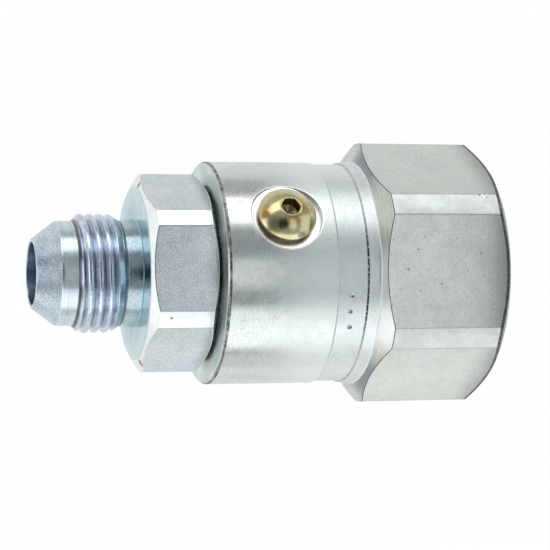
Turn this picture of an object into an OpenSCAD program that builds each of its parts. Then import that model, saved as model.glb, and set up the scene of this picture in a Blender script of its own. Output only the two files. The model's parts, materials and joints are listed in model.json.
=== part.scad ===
// In-line hydraulic ball swivel joint, 3/4-16 male flare end to 3/4-16 female port.
// Millimetres. The swivel axis is X, and X = 0 is the end face of the female end.
// Turned outlines are lists of [radius, x] points.

/* [Body] */
// Diameter of the barrel
barrel_d = 35.55; // [34:0.05:37.5]
// Width across the flats of the body's hex
body_hex_af = 38.1; // [37.6:0.1:42]
// Diameter that the corners of the body's hex are turned to
body_hex_corner_d = 42; // [40:0.1:43.9]
// Length from the end face to the top of the shoulder
body_hex_len = 19.5; // [15:0.1:22]
// How far the end chamfer cuts into the hex's corners
body_end_chamfer = 2.85; // [1:0.05:5]
// Slope of the body's shoulder and end chamfer, from square to the axis
body_chamfer_angle = 30; // [20:1:40]
// Edge break round the barrel's mouth
mouth_chamfer = 0.35; // [0.2:0.05:0.8]
// Width of the recessed marking band
band_w = 5; // [3:0.05:6]
// Depth of the marking band
band_depth = 0.27; // [0.1:0.01:0.4]
// Plain land between the marking band and the shoulder
band_land = 1.85; // [1:0.05:3]

/* [Threads and passage] */
// Outer diameter of both threads
thread_d = 19.05; // [18.6:0.05:20]
// Pitch of both threads, which sets the drilled size of the female one
thread_pitch = 1.5875; // [1:0.0125:2]
// Diameter of the oil passage
passage_d = 9.9; // [8:0.1:10.2]
// Depth of the female port at full diameter
port_depth = 15.5; // [12:0.1:16.5]
// How far the port's seal seat stands out round the drilled port
port_seat_rim = 1.57; // [1:0.01:2.2]
// Depth of the port's seal seat
port_seat_depth = 2.5; // [1.5:0.1:3]
// Slope of the seal seat from the axis
port_seat_angle = 12; // [8:0.5:15]
// Point angle of the drill that made the port
drill_point = 118; // [90:1:140]
// Wall left between the port and the seal bore
port_web = 1.7; // [1:0.1:2.5]

/* [Stem outside] */
// Gap between the stem's hex and the body's mouth
hex_gap = 0.5; // [0.3:0.05:1.5]
// Width across the flats of the stem's hex
stem_hex_af = 28.575; // [27.5:0.005:32]
// Diameter that the corners of the stem's hex are turned to
stem_hex_corner_d = 31.45; // [30:0.05:32.5]
// Length of the stem's hex
stem_hex_len = 10.7; // [8:0.1:16]
// How far the chamfer on the threaded side cuts into the hex's corners
stem_end_chamfer = 2.3; // [0.8:0.05:3]
// Slope of both chamfers of the stem's hex, from square to the axis
stem_chamfer_angle = 28.5; // [15:0.5:35]
// How far the chamfer on the body's side cuts into the hex's corners
stem_back_chamfer = 1.6; // [0.4:0.05:3]
// How far the stem's hex is turned from the body's as the part lies
rest_turn = 2.5; // [0:0.1:30]
// Depth of the neck behind the male thread, below the thread's root
neck_relief = 0.18; // [0.05:0.01:0.6]
// Length of the neck
neck_len = 2.5; // [1.5:0.05:6]
// Length of the male thread with its run-in and run-out
thread_len = 7.45; // [6:0.05:16]
// Length of the thread's run-out
thread_runout = 1.65; // [0.8:0.05:2.5]
// Depth of the plain lead in front of the thread, below the thread's root
lead_relief = 0.32; // [0.05:0.01:0.6]
// Length of the plain lead
lead_len = 2.56; // [1:0.02:5]
// Half angle of the flare seat
flare_angle = 37; // [30:0.5:45]
// Width of the lip round the passage at the nose
nose_lip = 0.5; // [0.15:0.05:0.8]

/* [Ball race] */
// Diameter of the ball circle and of the stem's journal
race_d = 24; // [23.5:0.1:24.5]
// Diameter of a ball
ball_d = 3.969; // [3.5:0.001:4.2]
// Least gap between neighbouring balls
ball_gap = 0.05; // [0.02:0.01:0.15]
// Radial clearance of a ball in its groove
race_clearance = 0.065; // [0.03:0.005:0.1]
// Distance from the barrel's mouth to the ball row
race_from_mouth = 10; // [8:0.1:10.8]
// Distance from the ball row to the stem's inner shoulder
race_to_shoulder = 4.7; // [3.5:0.1:5]
// Gap between the stem's inner shoulder and the step in the body
shoulder_gap = 0.3; // [0.2:0.05:0.8]
// Radial clearance between the stem and the body
running_clearance = 0.05; // [0.02:0.01:0.1]

/* [Ball plug] */
// Angle of the plug round the axis, from the upper flat
plug_angle = 30; // [0:1:60]
// Diameter of the spotface in the barrel
spotface_d = 11.2; // [9.8:0.1:13]
// Depth of the spotface under the barrel's surface
spotface_depth = 1; // [0.6:0.05:1.4]
// Diameter of the plug's threaded shank
plug_shank_d = 4.8; // [4.6:0.02:5.4]
// Clearance round the shank
plug_clearance = 0.05; // [0.02:0.01:0.1]
// Diameter of the plug's button head
plug_head_d = 9.17; // [8.6:0.01:9.7]
// Height of the button head
plug_head_h = 2.57; // [2.2:0.01:3]
// Height of the straight rim under the dome
plug_rim_h = 0.35; // [0.2:0.05:0.6]
// Diameter of the flat round the socket
plug_top_d = 3.5; // [3.4:0.1:4.8]
// Width across the flats of the hex socket
plug_socket_af = 2.7; // [2.5:0.05:2.8]
// Diameter of the round hole that the socket is broached from
plug_pilot_d = 2.84; // [2.8:0.02:3]
// Depth of the hex socket
plug_socket_depth = 1.75; // [1.2:0.05:1.9]
// Outer diameter of the washer under the head
washer_od = 7.6; // [7:0.1:9]
// Thickness of the washer
washer_t = 0.75; // [0.6:0.05:1.4]

/* [Seals] */
// Step from the journal down to the seal spigot
spigot_step = 2.05; // [1.5:0.05:2.4]
// Length of the seal spigot
spigot_len = 10.53; // [9:0.01:16]
// Gap between the end of the spigot and the bottom of the seal bore
tip_gap = 1; // [0.5:0.05:1.5]
// Distance from the end of the spigot to the seal groove
gland_from_tip = 2.1; // [1.2:0.1:2.6]
// Depth of the seal groove
gland_depth = 2.21; // [2:0.01:2.4]
// Width of the pressure seal
seal_w = 2.7; // [2.4:0.05:3]
// Radius of each lobe of the pressure seal
seal_lobe_r = 0.6; // [0.5:0.02:0.7]
// Width of each backup ring
backup_w = 1.4; // [1:0.05:1.6]
// Width of the scarf cut in a backup ring
scarf_gap = 0.15; // [0.1:0.01:0.3]
// Slope of the scarf cut
scarf_angle = 35; // [25:1:50]
// Clearance of the seals in their grooves
seal_clearance = 0.03; // [0.01:0.01:0.06]
// Radial thickness of the dust seal
dust_wall = 1.85; // [1.5:0.05:2.6]
// Width of the dust seal
dust_w = 2.2; // [1.6:0.05:3]
// How far the dust seal sits inside the mouth
dust_recess = 0.2; // [0.1:0.05:0.5]
// Bevel on the dust seal's edges
dust_bevel = 0.6; // [0.3:0.05:0.8]

/* [Hidden] */
eps = 0.01;
small_break = 0.4;
round_fn = 96;
// Height of an outer thread of this form, as a share of its pitch
thread_height = 0.6134;

// Radii
barrel_r = barrel_d / 2;
body_corner_r = body_hex_corner_d / 2;
body_face_r = body_corner_r - body_end_chamfer;
stem_corner_r = stem_hex_corner_d / 2;
stem_face_r = stem_corner_r - stem_end_chamfer;
thread_r = thread_d / 2;
thread_root_r = thread_r - thread_height * thread_pitch;
neck_r = thread_root_r - neck_relief;
lead_r = thread_root_r - lead_relief;
port_bore_r = (thread_d - thread_pitch) / 2;
port_seat_r = port_bore_r + port_seat_rim;
port_seat_end_r = port_seat_r - port_seat_depth * tan(port_seat_angle);
passage_r = passage_d / 2;
nose_r = passage_r + nose_lip;
journal_r = race_d / 2;
journal_bore_r = journal_r + running_clearance;
spigot_r = journal_r - spigot_step;
seal_bore_r = spigot_r + running_clearance;
gland_root_r = spigot_r - gland_depth;
ball_r = ball_d / 2;
groove_r = ball_r + race_clearance;
dust_r = journal_bore_r + dust_wall;
dust_bore_r = dust_r + seal_clearance;

// Stations along the axis in the body
body_chamfer_x = -(body_corner_r - body_face_r) * tan(body_chamfer_angle);
shoulder_foot_x = -body_hex_len - (body_corner_r - barrel_r) * tan(body_chamfer_angle);
band_x1 = shoulder_foot_x - band_land;
band_x0 = band_x1 - band_w;
port_thread_x = -port_seat_depth - (port_seat_end_r - port_bore_r);
port_point_x = -port_depth - (port_bore_r - passage_r) / tan(drill_point / 2);
seal_bore_x = port_point_x - port_web;
tip_x = seal_bore_x - tip_gap;
stem_shoulder_x = tip_x - spigot_len;
body_step_x = stem_shoulder_x + shoulder_gap;
ball_x = stem_shoulder_x - race_to_shoulder;
mouth_x = ball_x - race_from_mouth;
dust_x0 = mouth_x + dust_recess;
dust_x1 = dust_x0 + dust_w;

// Stations along the axis on the stem
stem_hex_x1 = mouth_x - hex_gap;
stem_hex_x0 = stem_hex_x1 - stem_hex_len;
stem_chamfer_x = stem_hex_x0 + stem_end_chamfer * tan(stem_chamfer_angle);
stem_back_chamfer_x = stem_hex_x1 - stem_back_chamfer * tan(stem_chamfer_angle);
thread_x1 = stem_hex_x0 - neck_len;
thread_x0 = thread_x1 - thread_len;
flare_x = thread_x0 - lead_len;
nose_x = flare_x - (lead_r - nose_r) / tan(flare_angle);

// The seal groove and what fills it, from the spigot's end inwards
gland_w = seal_w + 2 * backup_w + 4 * seal_clearance;
gland_x1 = tip_x - gland_from_tip;
gland_x0 = gland_x1 - gland_w;
backup_front_x = gland_x1 - seal_clearance - backup_w;
seal_x = backup_front_x - seal_clearance - seal_w;
backup_rear_x = seal_x - seal_clearance - backup_w;
ring_inner_r = gland_root_r + seal_clearance;
ring_outer_r = seal_bore_r - seal_clearance;

// Heights above the axis at the ball plug
spotface_r = barrel_r - spotface_depth;
washer_top_r = spotface_r + washer_t;
plug_tip_r = journal_r + groove_r + plug_clearance;
plug_hole_r = plug_shank_d / 2 + plug_clearance;

// A full row of balls
ball_count = floor(180 / asin((ball_d + ball_gap) / race_d));
function ball_name(i) = str("ball_", i < 10 ? "0" : "", i);

// Turns an outline of [radius, x] points round the swivel axis
module turned(outline) {
    rotate([0, 90, 0])
        rotate_extrude($fn = round_fn)
            polygon(outline);
}

// Hexagonal bar along the axis, with flats above and below
module hex_bar(af, x0, x1) {
    translate([x0, 0, 0])
        rotate([0, 90, 0])
            rotate([0, 0, 30])
                cylinder(d = af / cos(30), h = x1 - x0, $fn = 6);
}

// Groove for the ball row, half in the stem and half in the body
module race_groove() {
    rotate([0, 90, 0])
        rotate_extrude($fn = round_fn)
            translate([journal_r, ball_x])
                circle(r = groove_r, $fn = round_fn);
}

// Puts a child, drawn along +Z from the axis, at the ball plug's place
module at_plug() {
    translate([ball_x, 0, 0])
        rotate([-plug_angle, 0, 0])
            children();
}

// Round disc that starts at a height along +Z
module disc(r, z0, z1) {
    translate([0, 0, z0])
        cylinder(r = r, h = z1 - z0, $fn = round_fn);
}

// The body: barrel, marking band, shoulder and hex from one hexagonal bar,
// bored for the port, the seal spigot, the ball race and the dust seal
module barrel() {
    outline = [
        [port_seat_r, 0],
        [body_face_r, 0],
        [body_corner_r, body_chamfer_x],
        [body_corner_r, -body_hex_len],
        [barrel_r, shoulder_foot_x],
        [barrel_r, band_x1],
        [barrel_r - band_depth, band_x1 - band_depth],
        [barrel_r - band_depth, band_x0 + band_depth],
        [barrel_r, band_x0],
        [barrel_r, mouth_x + mouth_chamfer],
        [barrel_r - mouth_chamfer, mouth_x],
        [dust_bore_r, mouth_x],
        [dust_bore_r, dust_x1 + seal_clearance],
        [journal_bore_r, dust_x1 + seal_clearance],
        [journal_bore_r, body_step_x],
        [seal_bore_r + small_break, body_step_x],
        [seal_bore_r, body_step_x + small_break],
        [seal_bore_r, seal_bore_x],
        [passage_r, seal_bore_x],
        [passage_r, port_point_x],
        [port_bore_r, -port_depth],
        [port_bore_r, port_thread_x],
        [port_seat_end_r, -port_seat_depth],
    ];
    color([0.79, 0.81, 0.8])
        difference() {
            intersection() {
                turned(outline);
                hex_bar(body_hex_af, mouth_x - 1, 1);
            }
            race_groove();
            at_plug() {
                disc(plug_hole_r, journal_r - ball_r, barrel_r + 1);
                disc(spotface_d / 2, spotface_r, barrel_r + 1);
            }
        }
}

// The stem: flare nose, thread blank, neck, hex, ball journal and seal spigot
module stem() {
    outline = [
        [passage_r, nose_x],
        [nose_r, nose_x],
        [lead_r, flare_x],
        [lead_r, thread_x0],
        [thread_r, thread_x0 + thread_r - lead_r],
        [thread_r, thread_x1 - thread_runout],
        [neck_r, thread_x1],
        [neck_r, stem_hex_x0],
        [stem_face_r, stem_hex_x0],
        [stem_corner_r, stem_chamfer_x],
        [stem_corner_r, stem_back_chamfer_x],
        [stem_corner_r - stem_back_chamfer, stem_hex_x1],
        [journal_r, stem_hex_x1],
        [journal_r, stem_shoulder_x - small_break],
        [journal_r - small_break, stem_shoulder_x],
        [spigot_r, stem_shoulder_x],
        [spigot_r, gland_x0],
        [gland_root_r, gland_x0],
        [gland_root_r, gland_x1],
        [spigot_r, gland_x1],
        [spigot_r, tip_x - small_break],
        [spigot_r - small_break, tip_x],
        [passage_r, tip_x],
    ];
    color([0.76, 0.8, 0.83])
        rotate([-rest_turn, 0, 0])
            difference() {
                intersection() {
                    turned(outline);
                    hex_bar(stem_hex_af, nose_x - 1, tip_x + 1);
                }
                race_groove();
            }
}

// Button-head screw that closes the ball filling hole
module ball_plug() {
    rim_r = plug_head_d / 2;
    top_r = plug_top_d / 2;
    dome_h = plug_head_h - plug_rim_h;
    // The dome passes through the edge of the rim and the edge of the flat
    dome_below_rim = (rim_r * rim_r - top_r * top_r - dome_h * dome_h) / (2 * dome_h);
    dome_r = sqrt(rim_r * rim_r + dome_below_rim * dome_below_rim);
    socket_z = washer_top_r + plug_head_h - plug_socket_depth;
    socket_r = plug_socket_af / 2 / cos(30);
    color([0.72, 0.65, 0.38])
        at_plug()
            difference() {
                union() {
                    disc(plug_shank_d / 2, plug_tip_r, washer_top_r + eps);
                    intersection() {
                        disc(rim_r, washer_top_r, washer_top_r + plug_head_h);
                        translate([0, 0, washer_top_r + plug_rim_h - dome_below_rim])
                            sphere(r = dome_r, $fn = round_fn);
                    }
                }
                translate([0, 0, socket_z])
                    cylinder(r = socket_r, h = plug_socket_depth + 1, $fn = 6);
                disc(plug_pilot_d / 2, socket_z, socket_z + plug_socket_depth + 1);
                translate([0, 0, socket_z - socket_r / 2])
                    cylinder(r1 = 0, r2 = plug_socket_af / 2, h = socket_r / 2 + eps, $fn = round_fn);
            }
}

// Thin washer between the plug's head and the spotface
module plug_washer() {
    color([0.16, 0.16, 0.15])
        at_plug()
            difference() {
                disc(washer_od / 2, spotface_r, washer_top_r);
                disc(plug_hole_r, spotface_r - 1, washer_top_r + 1);
            }
}

// Ring in the mouth that wipes the journal
module dust_seal() {
    color([0.1, 0.1, 0.1])
        turned([
            [journal_bore_r, dust_x0 + dust_bevel],
            [journal_bore_r + dust_bevel, dust_x0],
            [dust_r - dust_bevel / 2, dust_x0],
            [dust_r, dust_x0 + dust_bevel / 2],
            [dust_r, dust_x1],
            [journal_bore_r + dust_bevel, dust_x1],
            [journal_bore_r, dust_x1 - dust_bevel],
        ]);
}

// Four-lobed ring that seals the spigot in its bore
module pressure_seal() {
    seal_h = ring_outer_r - ring_inner_r;
    web = seal_lobe_r / 2;
    color([0.09, 0.09, 0.1])
        rotate([0, 90, 0])
            rotate_extrude($fn = round_fn)
                translate([ring_inner_r, seal_x]) {
                    for (u = [seal_lobe_r, seal_h - seal_lobe_r], v = [seal_lobe_r, seal_w - seal_lobe_r])
                        translate([u, v])
                            circle(r = seal_lobe_r, $fn = round_fn);
                    translate([web, web])
                        square([seal_h - 2 * web, seal_w - 2 * web]);
                }
}

// Square ring with a slanting cut, so that it can be sprung over the spigot
module backup_ring(x) {
    color([0.93, 0.92, 0.88])
        difference() {
            turned([
                [ring_inner_r, x],
                [ring_outer_r, x],
                [ring_outer_r, x + backup_w],
                [ring_inner_r, x + backup_w],
            ]);
            translate([x + backup_w / 2, 0, (ring_inner_r + ring_outer_r) / 2])
                rotate([0, 0, scarf_angle])
                    cube([4 * backup_w, scarf_gap, 2 * gland_depth], center = true);
        }
}

module backup_ring_front() {
    backup_ring(backup_front_x);
}

module backup_ring_rear() {
    backup_ring(backup_rear_x);
}

// One ball of the row, the first of them under the plug
module ball(i) {
    color([0.7, 0.71, 0.73])
        rotate([-plug_angle + (i - 1) * 360 / ball_count, 0, 0])
            translate([ball_x, 0, journal_r])
                sphere(d = ball_d, $fn = round_fn);
}

barrel();
stem();
ball_plug();
plug_washer();
dust_seal();
pressure_seal();
backup_ring_front();
backup_ring_rear();
for (i = [1:ball_count])
    ball(i);
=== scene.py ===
import json
from math import acos, asin, cos, pi, radians, sin, sqrt, tan

import bpy
import numpy as np
from mathutils import Matrix, Vector


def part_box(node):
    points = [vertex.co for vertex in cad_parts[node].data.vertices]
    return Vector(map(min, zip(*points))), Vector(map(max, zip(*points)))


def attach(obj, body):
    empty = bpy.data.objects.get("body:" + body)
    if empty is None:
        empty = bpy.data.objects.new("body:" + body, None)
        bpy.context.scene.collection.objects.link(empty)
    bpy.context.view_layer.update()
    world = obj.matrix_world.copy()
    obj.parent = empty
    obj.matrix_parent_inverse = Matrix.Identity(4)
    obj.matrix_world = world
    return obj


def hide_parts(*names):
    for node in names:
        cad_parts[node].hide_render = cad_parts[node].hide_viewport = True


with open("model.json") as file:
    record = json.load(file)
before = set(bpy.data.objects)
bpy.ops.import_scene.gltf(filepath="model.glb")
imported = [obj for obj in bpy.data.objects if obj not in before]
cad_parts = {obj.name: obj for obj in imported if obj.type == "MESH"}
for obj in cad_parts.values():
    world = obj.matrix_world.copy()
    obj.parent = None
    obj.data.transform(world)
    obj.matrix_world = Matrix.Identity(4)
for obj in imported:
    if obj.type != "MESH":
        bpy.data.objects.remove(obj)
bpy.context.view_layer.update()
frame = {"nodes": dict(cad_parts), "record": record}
mm = 0.001  # lengths below are in millimetres, meshes are in metres


# Meshes: every turned piece is a grid of rows along its outline and columns round its axis
def softMin(a, b, width):
    near = np.maximum(width - np.abs(a - b), 0) / width
    return np.minimum(a, b) - near * near * width / 4


def softMax(a, b, width):
    return -softMin(-a, -b, width)


def hexColumns(flat, corner):
    # Angles from +Y toward +Z, closer together where a flat meets the turned corner
    edge = acos(flat / corner)
    half = np.concatenate([
        np.linspace(0, edge - radians(0.8), 13),
        edge + np.radians([-0.4, -0.15, 0, 0.15, 0.4]),
        np.linspace(edge + radians(0.8), pi / 6, 4),
    ])
    sector = np.concatenate([-half[:0:-1], half[:-1]])
    return np.concatenate([sector + radians(30 + 60 * side) for side in range(6)])


def fromFlatMiddle(angles):
    a = (angles - pi / 6) % (pi / 3)
    return np.minimum(a, pi / 3 - a)


def hexLimit(angles, flat, corner):
    # How far out the hex bar, turned round at its corners, reaches at each angle
    return softMin(flat / np.cos(fromFlatMiddle(angles)), corner, 0.06)


def ringRows(corners, columns):
    # Corners are (x, radius, rounding, rows to the next corner, finish); x and radius may vary round the axis
    count = len(corners)
    place = np.zeros((count, 2, columns))
    for k, (x, r, *rest) in enumerate(corners):
        place[k, 0] = x
        place[k, 1] = r
    rows, finishes = [], []
    starts, ends = [], []
    for k, (x, r, rounding, cuts, finish) in enumerate(corners):
        here = place[k]
        if not rounding:
            starts.append(here)
            ends.append(here)
            rows.append([here])
            continue
        before = place[k - 1] - here
        after = place[(k + 1) % count] - here
        lengthBefore = np.maximum(np.hypot(*before), 1e-9)
        lengthAfter = np.maximum(np.hypot(*after), 1e-9)
        reach = np.minimum(rounding, 0.4 * np.minimum(lengthBefore, lengthAfter))
        arc = []
        for t in (0, 0.33, 0.67, 1):
            arc.append(here + before / lengthBefore * reach * (1 - t) ** 2 + after / lengthAfter * reach * t ** 2)
        rows.append(arc)
        starts.append(arc[0])
        ends.append(arc[-1])
    allRows = []
    for k, (x, r, rounding, cuts, finish) in enumerate(corners):
        for row in rows[k]:
            allRows.append(row)
            finishes.append(finish)
        if rounding:
            finishes[-2] = finishes[-3] = finish
        following = starts[(k + 1) % count]
        for cut in range(1, cuts + 1):
            t = cut / (cuts + 1)
            allRows.append(ends[k] * (1 - t) + following * t)
            finishes.append(finish)
    return np.array(allRows), finishes


class Shell:
    # Points and quads of one mesh while it is being put together
    def __init__(self):
        self.points = []
        self.quads = []
        self.slots = []

    def addPoints(self, points):
        first = sum(len(p) for p in self.points)
        self.points.append(np.asarray(points, float).reshape(-1, 3))
        return first + np.arange(len(self.points[-1]))

    def addQuads(self, quads, slots):
        quads = np.asarray(quads).reshape(-1, 4)
        self.quads.append(quads)
        self.slots.append(np.broadcast_to(slots, len(quads)))

    def joinRings(self, a, b, slot):
        # Quads between two closed rings of point numbers of the same length
        self.addQuads(np.stack([a, b, np.roll(b, -1), np.roll(a, -1)], 1), slot)

    def build(self, name, materials):
        points = np.concatenate(self.points) * mm
        quads = np.concatenate(self.quads)
        slots = np.concatenate(self.slots)
        used = np.unique(quads)
        number = np.zeros(len(points), int)
        number[used] = np.arange(len(used))
        mesh = bpy.data.meshes.new(name)
        mesh.from_pydata(points[used].tolist(), [], [tuple(dict.fromkeys(q)) for q in number[quads].tolist()])
        mesh.polygons.foreach_set("material_index", slots.astype(np.int32))
        for material in materials:
            mesh.materials.append(material)
        thing = bpy.data.objects.new(name, mesh)
        bpy.context.scene.collection.objects.link(thing)
        smoothByArea(mesh)
        return thing


def smoothByArea(mesh):
    # Corner normals weighted by face area, so that flats stay flat up to their rounded edges
    mesh.validate()
    mesh.update()
    count = len(mesh.polygons)
    mesh.polygons.foreach_set("use_smooth", np.ones(count, bool))
    normals = np.zeros(count * 3)
    areas = np.zeros(count)
    sizes = np.zeros(count, np.int32)
    corners = np.zeros(len(mesh.loops), np.int32)
    mesh.polygons.foreach_get("normal", normals)
    mesh.polygons.foreach_get("area", areas)
    mesh.polygons.foreach_get("loop_total", sizes)
    mesh.loops.foreach_get("vertex_index", corners)
    weighted = normals.reshape(-1, 3) * areas[:, None]
    total = np.zeros((len(mesh.vertices), 3))
    np.add.at(total, corners, np.repeat(weighted, sizes, axis=0))
    total /= np.maximum(np.linalg.norm(total, axis=1), 1e-20)[:, None]
    mesh.normals_split_custom_set_from_vertices(total.tolist())


def turnedPoints(rows, angles):
    x = rows[:, 0]
    r = rows[:, 1]
    return np.stack([x, r * np.cos(angles), r * np.sin(angles)], -1)


def gridQuads(ids):
    a = ids
    b = np.roll(ids, -1, 0)
    return np.stack([a, b, np.roll(b, -1, 1), np.roll(a, -1, 1)], -1)


# Finishes
def newMaterial(name, colour, metallic, roughness):
    material = bpy.data.materials.new(name)
    material.use_nodes = True
    shader = material.node_tree.nodes["Principled BSDF"]
    shader.inputs["Base Color"].default_value = (*colour, 1)
    shader.inputs["Metallic"].default_value = metallic
    shader.inputs["Roughness"].default_value = roughness
    return material, shader


def addNode(material, kind, **values):
    node = material.node_tree.nodes.new(kind)
    for key, value in values.items():
        if hasattr(node, key) and key not in node.inputs:
            setattr(node, key, value)
        else:
            node.inputs[key.replace("_", " ")].default_value = value
    return node


def wire(material, output, target):
    material.node_tree.links.new(output, target)


def stretchedNoise(material, scale, stretch, detail=3.0, roughness=0.55, distortion=0.0):
    # Noise whose scale is per millimetre along and across the axis
    where = addNode(material, "ShaderNodeTexCoord")
    size = addNode(material, "ShaderNodeMapping")
    size.inputs["Scale"].default_value = [1000 * s for s in stretch]
    wire(material, where.outputs["Object"], size.inputs["Vector"])
    noise = addNode(material, "ShaderNodeTexNoise", Scale=scale, Detail=detail, Roughness=roughness)
    noise.inputs["Distortion"].default_value = distortion
    wire(material, size.outputs[0], noise.inputs["Vector"])
    return noise.outputs["Fac"]


def ramp(material, value, stops, kind="LINEAR"):
    node = addNode(material, "ShaderNodeValToRGB")
    bar = node.color_ramp
    bar.interpolation = kind
    for position, colour in stops[2:]:
        bar.elements.new(position)
    for element, (position, colour) in zip(bar.elements, sorted(stops, key=lambda s: s[0])):
        element.position = position
        element.color = (*colour, 1) if len(colour) == 3 else (colour[0],) * 3 + (1,)
    wire(material, value, node.inputs["Fac"])
    return node.outputs["Color"]


def blendColours(material, kind, factor, a, b):
    node = addNode(material, "ShaderNodeMix", data_type="RGBA", blend_type=kind)
    if hasattr(factor, "node"):
        wire(material, factor, node.inputs[0])
    else:
        node.inputs[0].default_value = factor
    wire(material, a, node.inputs[6])
    wire(material, b, node.inputs[7])
    return node.outputs[2]


def bumpFrom(material, height, strength, distance, before=None):
    node = addNode(material, "ShaderNodeBump", Strength=strength, Distance=distance * mm)
    wire(material, height, node.inputs["Height"])
    if before is not None:
        wire(material, before, node.inputs["Normal"])
    return node.outputs["Normal"]


def mapped(material, value, low, high, start=0.0, end=1.0):
    node = addNode(material, "ShaderNodeMapRange", From_Min=low, From_Max=high, To_Min=start, To_Max=end)
    node.interpolation_type = "SMOOTHSTEP"
    wire(material, value, node.inputs["Value"])
    return node.outputs["Result"]


def maths(material, kind, a, b):
    node = addNode(material, "ShaderNodeMath", operation=kind)
    for socket, value in zip(node.inputs, (a, b)):
        if hasattr(value, "node"):
            wire(material, value, socket)
        else:
            socket.default_value = value
    return node.outputs[0]


def placeOf(material):
    # Place on the object, in metres
    return addNode(material, "ShaderNodeTexCoord").outputs["Object"]


def alongAxis(material, left, right, start, end):
    # A value that changes along the swivel's axis between two stations in millimetres
    parts = addNode(material, "ShaderNodeSeparateXYZ")
    wire(material, placeOf(material), parts.inputs[0])
    return mapped(material, parts.outputs["X"], left * mm, right * mm, start, end)


def nearPoint(material, point, inner, outer):
    # 1 within the inner radius of a point, 0 beyond the outer one, in millimetres
    node = addNode(material, "ShaderNodeVectorMath", operation="DISTANCE")
    wire(material, placeOf(material), node.inputs[0])
    node.inputs[1].default_value = [p * mm for p in point]
    return mapped(material, node.outputs["Value"], inner * mm, outer * mm, 1.0, 0.0)


def spots(material, spacing, size, shift):
    # Scattered specks of uneven outline
    size3 = addNode(material, "ShaderNodeMapping")
    size3.inputs["Scale"].default_value = (1000 / spacing,) * 3
    size3.inputs["Location"].default_value = (shift, shift * 0.7, -shift)
    wire(material, placeOf(material), size3.inputs["Vector"])
    wobble = addNode(material, "ShaderNodeTexNoise", Scale=2.5 * spacing, Detail=2.0)
    wire(material, size3.outputs[0], wobble.inputs["Vector"])
    bent = addNode(material, "ShaderNodeVectorMath", operation="MULTIPLY_ADD")
    wire(material, wobble.outputs["Color"], bent.inputs[0])
    bent.inputs[1].default_value = (0.5 * size / spacing,) * 3
    wire(material, size3.outputs[0], bent.inputs[2])
    cells = addNode(material, "ShaderNodeTexVoronoi", Scale=1.0)
    wire(material, bent.outputs[0], cells.inputs["Vector"])
    return mapped(material, cells.outputs["Distance"], 0.4 * size / spacing, size / spacing, 1.0, 0.0)


def tinted(material, colour, share, tint):
    # Pulls a colour towards a tint where the share is high
    node = addNode(material, "ShaderNodeMix", data_type="RGBA", blend_type="MIX")
    wire(material, share, node.inputs[0])
    wire(material, colour, node.inputs[6])
    node.inputs[7].default_value = (*tint, 1)
    return node.outputs[2]


def shaded(material, colour, share, strength):
    # Darkens a colour by up to the strength where the share is high
    grey = mapped(material, share, 0.0, 1.0, 1.0, 1.0 - strength)
    return blendColours(material, "MULTIPLY", 1.0, colour, grey)


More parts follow.
